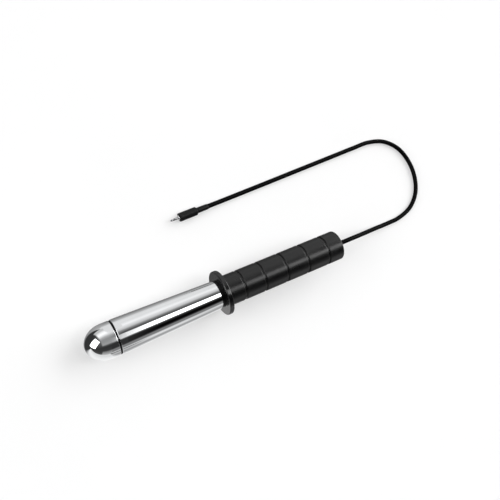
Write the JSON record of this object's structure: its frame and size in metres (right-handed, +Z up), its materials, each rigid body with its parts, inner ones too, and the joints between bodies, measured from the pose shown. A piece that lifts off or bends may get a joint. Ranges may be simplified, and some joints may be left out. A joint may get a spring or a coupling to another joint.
{
  "type": "immersion wand",
  "caption": "Handheld steel immersion wand with a screw-on dome, a guard flange, a grooved black grip and a thin lead that ends in a jack plug.",
  "frame": {"origin": "under the middle of the lying wand without its lead, on the surface it lies on", "axes": "+X runs along the wand from the dome to the lead's end, level with the surface; +Z is up; the lead turns back on the +Y side"},
  "size_m": [0.4737, 0.1318, 0.0501],
  "materials": {
    "polished_steel": "mirror-polished stainless steel",
    "plain_steel": "turned steel",
    "aluminium": "turned aluminium",
    "brass": "sintered or turned brass",
    "copper": "copper winding",
    "black_plastic": "satin turned plastic",
    "grip_black": "satin turned grip with ring grooves",
    "plug_black": "moulded plug, fine matt texture",
    "lead_black": "smooth flexible cable jacket",
    "black_rubber": "matt sealing rubber",
    "red_rubber": "heat-proof silicone",
    "ceramic": "unglazed technical ceramic",
    "board_green": "circuit board with solder mask",
    "magnet": "ground ferrite"
  },
  "bodies": {
    "wand": {"sheath_tube": "polished_steel", "nose_bush": "plain_steel", "sensor_holder": "ceramic", "sensor_probe": "plain_steel", "motor_can": "plain_steel", "motor_end_cap": "black_plastic", "motor_cradle": "red_rubber", "front_bearing": "brass", "rear_bearing": "brass", "upper_magnet": "magnet", "lower_magnet": "magnet", "heater_core": "ceramic", "heat_spreader": "aluminium", "thermal_fuse": "ceramic", "spine_tube": "aluminium", "neck_bush": "black_plastic", "flange_disc": "black_plastic", "grip_sleeve": "grip_black", "end_plug": "black_plastic", "cable_gland": "black_rubber", "control_board": "board_green", "board_tray": "black_plastic", "control_chip": "black_plastic", "smoothing_capacitor": "aluminium", "choke_coil": "copper", "lead_terminal": "brass", "sensor_connector": "ceramic", "lead_tail": "lead_black", "lead_clamp": "plain_steel", "lead": "lead_black", "plug_relief": "plug_black", "plug_body": "plug_black", "jack_collar": "polished_steel", "jack_sleeve": "polished_steel", "jack_insulator": "black_plastic", "jack_tip": "polished_steel"},
    "seal": {"seal_ring": "black_rubber"},
    "dome": {"dome_cap": "polished_steel"},
    "rotor": {"armature": "copper", "commutator": "copper", "rotor_shaft": "plain_steel", "eccentric_weight": "brass"}
  },
  "joints": [
    {"name": "dome_slide", "type": "slide", "parent": "wand", "child": "seal", "axis": [-0.9988, 0, -0.0481], "range_m": [0, 0.006]},
    {"name": "dome_turn", "type": "hinge", "parent": "seal", "child": "dome", "pos_m": [-0.12369, 0, 0.01909], "axis": [-0.9988, 0, -0.0481], "range_deg": [0, 1440]},
    {"name": "rotor_spin", "type": "hinge", "parent": "wand", "child": "rotor", "pos_m": [-0.09737, 0, 0.02035], "axis": [0.9988, 0, 0.0481], "continuous": true}
  ],
  "couplings": [
    {"joint": "dome_slide", "follows": "dome_turn", "m_per_rad": 0.00023873}
  ]
}
